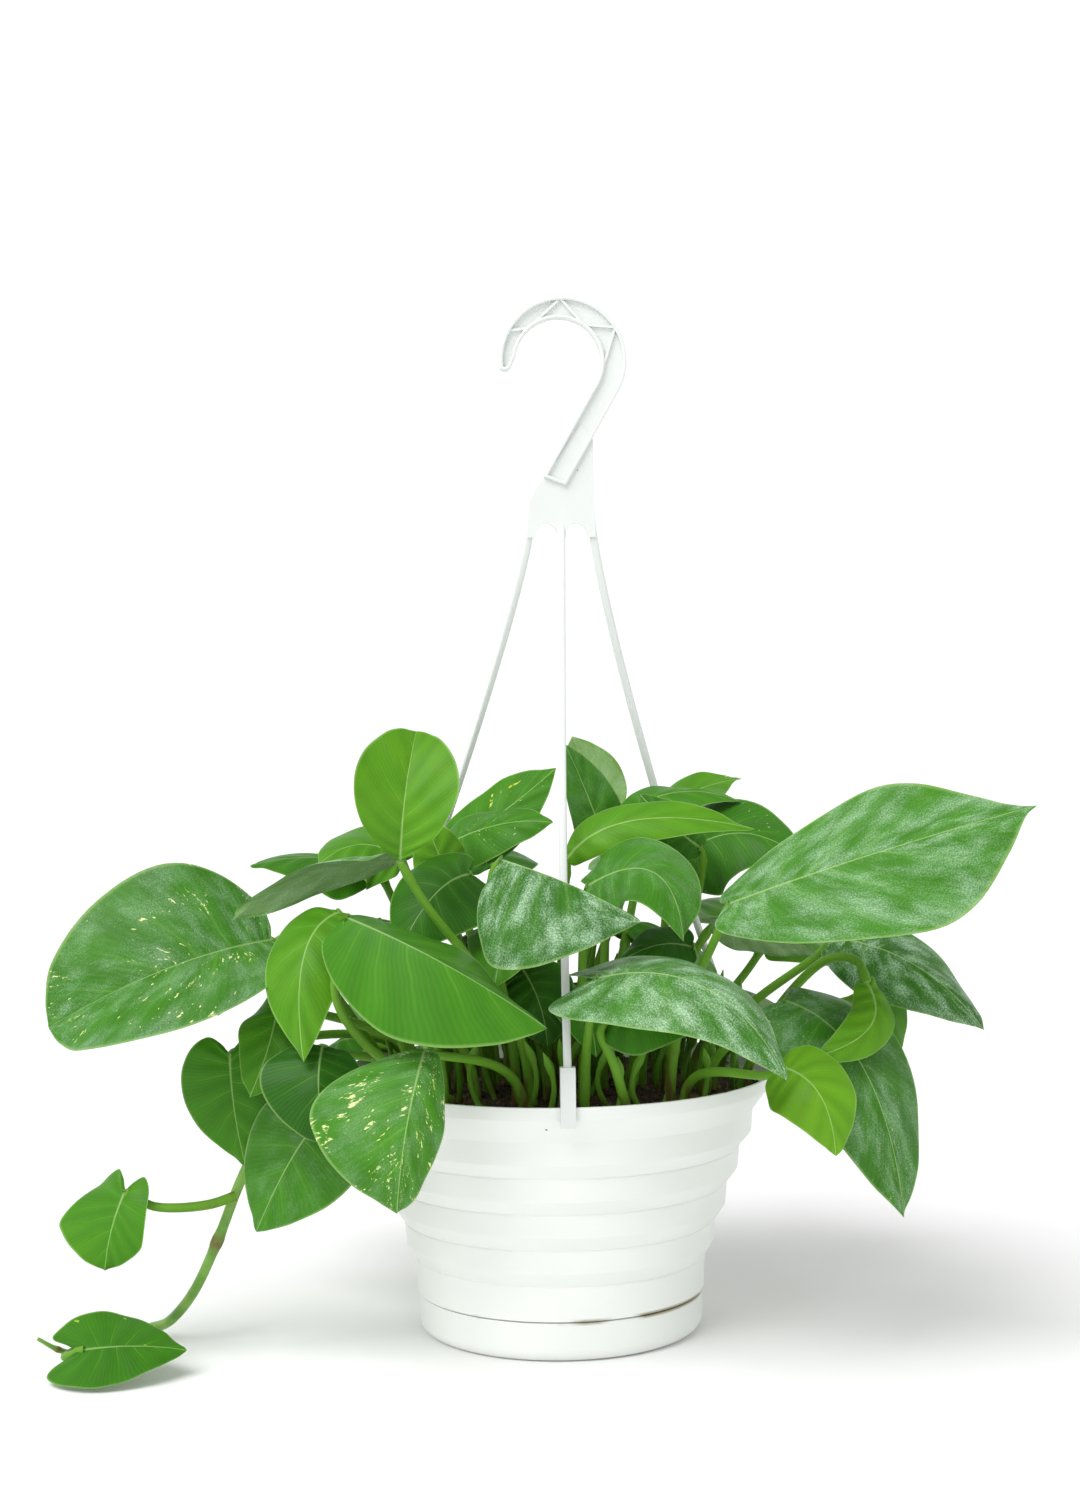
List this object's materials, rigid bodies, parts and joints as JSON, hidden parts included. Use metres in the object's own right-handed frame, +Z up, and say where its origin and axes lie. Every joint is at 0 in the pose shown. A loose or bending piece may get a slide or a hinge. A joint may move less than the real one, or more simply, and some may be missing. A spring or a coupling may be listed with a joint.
{
  "type": "potted pothos plant",
  "caption": "Variegated pothos in a round ribbed plastic hanging pot with a clip-on drip saucer and a stranded hook hanger, one vine trailing down to the ground beside it.",
  "frame": {"origin": "on the ground under the centre of the drip saucer", "axes": "+Z up, the front is -Y, +X to the right seen from the front; the trailing vine leaves on the -X side"},
  "size_m": [0.4435, 0.3246, 0.4831],
  "materials": {
    "pot_plastic": "satin white moulded plastic with fine specks",
    "saucer_plastic": "satin white moulded plastic, soil dust in the seam",
    "hanger_plastic": "satin white moulded plastic",
    "potting_soil": "damp crumbly peat mix with bark",
    "vine": "smooth green stem with brown nodes",
    "leaf": "waxy leaf, cream and silver variegation"
  },
  "bodies": {
    "root": {"back_left_large": "leaf", "back_left_low": "leaf", "back_mid_large": "leaf", "back_mid_low": "leaf", "back_right_large": "leaf", "back_right_low": "leaf", "back_upper": "leaf", "back_upper_right": "leaf", "crown_pale": "leaf", "crown_patch": "leaf", "crown_round": "leaf", "crown_shade": "leaf", "crown_spear": "leaf", "drip_saucer": "saucer_plastic", "front_left_broad": "leaf", "front_left_speckled": "leaf", "front_right_silver": "leaf", "front_silver": "leaf", "front_small": "leaf", "hanger": "hanger_plastic", "left_back": "leaf", "left_back_lime": "leaf", "left_curled": "leaf", "left_dark_fold": "leaf", "left_dark_low": "leaf", "left_fresh": "leaf", "left_heart": "leaf", "left_large": "leaf", "left_lime": "leaf", "mid_arching": "leaf", "mid_long_lime": "leaf", "mid_shade": "leaf", "mid_small_dark": "leaf", "mid_yellow_back": "leaf", "mid_yellow_front": "leaf", "pot": "pot_plastic", "right_back_flat": "leaf", "right_back_spear": "leaf", "right_curled": "leaf", "right_dark_small": "leaf", "right_drooping": "leaf", "right_grey_under": "leaf", "right_large": "leaf", "right_lime_low": "leaf", "right_low_dark": "leaf", "right_sliver": "leaf", "right_yellow_tip": "leaf", "side_left_back": "leaf", "side_left_low": "leaf", "side_right_back": "leaf", "side_right_low": "leaf", "soil": "potting_soil", "trail_heart": "leaf", "trail_twisted": "leaf", "trailing_vine": "vine"}
  },
  "joints": []
}
